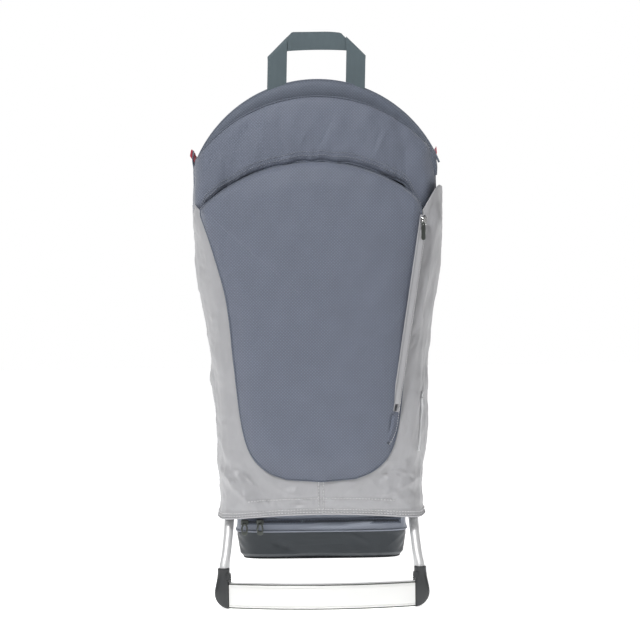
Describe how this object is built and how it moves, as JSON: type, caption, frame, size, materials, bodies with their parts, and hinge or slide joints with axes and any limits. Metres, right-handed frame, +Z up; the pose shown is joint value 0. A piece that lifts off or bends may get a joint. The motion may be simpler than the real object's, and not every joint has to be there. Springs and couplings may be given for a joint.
{
  "type": "framed baby carrier backpack",
  "caption": "Framed child carrier backpack with a fabric pod, arched headrest, folding base stand, storage bag, padded back harness and webbing grab handle.",
  "frame": {"origin": "middle of the footprint on the floor", "axes": "+Z up, -Y towards the child's side that faces the viewer, +Y towards the wearer's harness, +X to the right of someone facing the child's side"},
  "size_m": [0.3444, 0.388, 0.7755],
  "materials": {
    "slate_fabric": "woven dobby polyester, matt",
    "dark_slate_fabric": "woven polyester, matt",
    "grey_fabric": "light silver-grey ripstop, slight sheen",
    "charcoal_fabric": "heavy coated weave",
    "mesh_fabric": "spacer mesh over foam",
    "grey_webbing": "flat woven webbing",
    "black_webbing": "flat woven webbing",
    "anodised_aluminium": "satin silver anodised",
    "zip_steel": "nickel plated",
    "dark_metal": "gunmetal",
    "black_plastic": "fine moulded texture",
    "hinge_plastic": "moulded, joined parts",
    "rubber": "matt",
    "red_plastic": "moulded",
    "zip_coil": "nylon coil on tape"
  },
  "bodies": {
    "carrier": {"frame_tube": "anodised_aluminium", "right_rear_foot": "rubber", "left_rear_foot": "rubber", "right_hinge_hub": "hinge_plastic", "left_hinge_hub": "hinge_plastic", "right_hinge_pin": "zip_steel", "left_hinge_pin": "zip_steel", "outer_cover": "grey_fabric", "pocket_panel": "slate_fabric", "head_panel": "slate_fabric", "head_rim": "dark_slate_fabric", "right_head_wing": "slate_fabric", "left_head_wing": "slate_fabric", "child_back_pad": "charcoal_fabric", "seat_pad": "charcoal_fabric", "face_pad": "charcoal_fabric", "right_child_strap": "black_webbing", "left_child_strap": "black_webbing", "child_crotch_strap": "black_webbing", "child_buckle": "black_plastic", "storage_bag": "slate_fabric", "bag_base": "charcoal_fabric", "bag_zip_tape": "zip_coil", "pocket_zip_tape": "zip_coil", "back_sheet": "black_plastic", "back_pad": "mesh_fabric", "lumbar_pad": "mesh_fabric", "right_shoulder_strap": "mesh_fabric", "left_shoulder_strap": "mesh_fabric", "right_strap_adjuster": "black_plastic", "left_strap_adjuster": "black_plastic", "right_strap_webbing": "black_webbing", "left_strap_webbing": "black_webbing", "right_hip_wing": "mesh_fabric", "left_hip_wing": "mesh_fabric", "hip_socket": "black_plastic", "hip_right_webbing": "black_webbing"},
    "stand": {"right_stand_tube": "anodised_aluminium", "left_stand_tube": "anodised_aluminium", "right_stand_eye": "hinge_plastic", "left_stand_eye": "hinge_plastic", "right_base_elbow": "hinge_plastic", "left_base_elbow": "hinge_plastic", "base_bar": "anodised_aluminium"},
    "right_lock": {"right_lock_button": "red_plastic"},
    "left_lock": {"left_lock_button": "red_plastic"},
    "grab_loop": {"grab_handle": "grey_webbing"},
    "pocket_slider": {"pocket_zip_slider": "zip_steel"},
    "pocket_pull": {"pocket_zip_pull": "dark_metal"},
    "bag_slider_outer": {"bag_zip_slider_outer": "dark_metal"},
    "bag_pull_outer": {"bag_zip_pull_outer": "black_plastic"},
    "bag_slider_inner": {"bag_zip_slider_inner": "dark_metal"},
    "bag_pull_inner": {"bag_zip_pull_inner": "black_plastic"},
    "hip_clip": {"hip_plug": "black_plastic", "hip_left_webbing": "black_webbing"},
    "sternum_strap": {"sternum_socket": "black_plastic", "sternum_right_webbing": "black_webbing"},
    "sternum_clip": {"sternum_plug": "black_plastic", "sternum_left_webbing": "black_webbing"},
    "child_release": {"child_buckle_button": "red_plastic"}
  },
  "joints": [
    {"name": "stand_fold", "type": "hinge", "parent": "carrier", "child": "stand", "pos_m": [0, 0.01, 0.33], "axis": [1, 0, 0], "range_deg": [0, 30]},
    {"name": "right_lock_press", "type": "slide", "parent": "carrier", "child": "right_lock", "axis": [-1, 0, 0], "range_m": [0, 0.0025], "stiffness_N_per_m": 400},
    {"name": "left_lock_press", "type": "slide", "parent": "carrier", "child": "left_lock", "axis": [1, 0, 0], "range_m": [0, 0.0025], "stiffness_N_per_m": 400},
    {"name": "grab_handle_swing", "type": "hinge", "parent": "carrier", "child": "grab_loop", "pos_m": [0, -0.146, 0.708], "axis": [1, 0, 0], "range_deg": [-50, 50]},
    {"name": "pocket_zip_travel", "type": "slide", "parent": "carrier", "child": "pocket_slider", "axis": [-0.1577, 0, -0.9875], "range_m": [0, 0.24]},
    {"name": "pocket_zip_pull_swing", "type": "hinge", "parent": "pocket_slider", "child": "pocket_pull", "pos_m": [0.14124, -0.1736, 0.51411], "axis": [-1, 0, 0], "range_deg": [0, 110]},
    {"name": "bag_zip_outer_travel", "type": "slide", "parent": "carrier", "child": "bag_slider_outer", "axis": [1, 0, 0], "range_m": [0, 0.008]},
    {"name": "bag_zip_outer_pull_swing", "type": "hinge", "parent": "bag_slider_outer", "child": "bag_pull_outer", "pos_m": [-0.104, -0.1397, 0.112], "axis": [-1, 0, 0], "range_deg": [0, 45]},
    {"name": "bag_zip_inner_travel", "type": "slide", "parent": "carrier", "child": "bag_slider_inner", "axis": [1, 0, 0], "range_m": [0, 0.18]},
    {"name": "bag_zip_inner_pull_swing", "type": "hinge", "parent": "bag_slider_inner", "child": "bag_pull_inner", "pos_m": [-0.083, -0.1397, 0.112], "axis": [-1, 0, 0], "range_deg": [0, 45]},
    {"name": "hip_buckle_release", "type": "slide", "parent": "carrier", "child": "hip_clip", "axis": [-1, 0, 0], "range_m": [0, 0.03]},
    {"name": "sternum_height", "type": "slide", "parent": "carrier", "child": "sternum_strap", "axis": [0, -0.0995, 0.995], "range_m": [-0.03, 0.03]},
    {"name": "sternum_buckle_release", "type": "slide", "parent": "sternum_strap", "child": "sternum_clip", "axis": [-1, 0, 0], "range_m": [0, 0.018]},
    {"name": "child_buckle_press", "type": "slide", "parent": "carrier", "child": "child_release", "axis": [0, -1, 0], "range_m": [0, 0.0025], "stiffness_N_per_m": 300}
  ]
}
